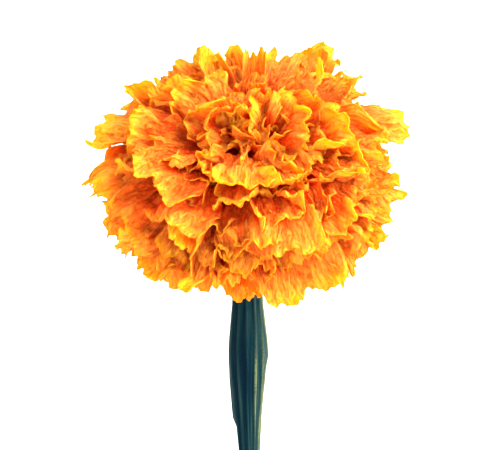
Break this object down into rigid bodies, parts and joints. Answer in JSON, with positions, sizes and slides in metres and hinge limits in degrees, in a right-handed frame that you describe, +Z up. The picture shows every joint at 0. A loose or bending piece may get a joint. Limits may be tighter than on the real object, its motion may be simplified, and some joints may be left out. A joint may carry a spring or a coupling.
{
  "type": "african marigold flower",
  "caption": "Full double marigold bloom of ruffled orange florets on a short, swollen, ribbed stalk, cut and lying on its side.",
  "frame": {"origin": "centre of the bounding box's bottom face, on the surface the flower lies on", "axes": "+Z up off that surface, +Y along the lying flower from the stalk's cut end to the bloom, +X to the right of that"},
  "size_m": [0.094, 0.1476, 0.0745],
  "materials": {
    "petal": "matt orange petal, yellow at its ruffled edge and deep orange-red at its base",
    "cup_green": "smooth green bract, stands in for living plant tissue",
    "stalk_green": "dark blue-green ribbed stalk with pale ridges, stands in for living plant tissue"
  },
  "bodies": {
    "root": {"bloom": "petal", "involucre": "cup_green", "stalk": "stalk_green"}
  },
  "joints": []
}
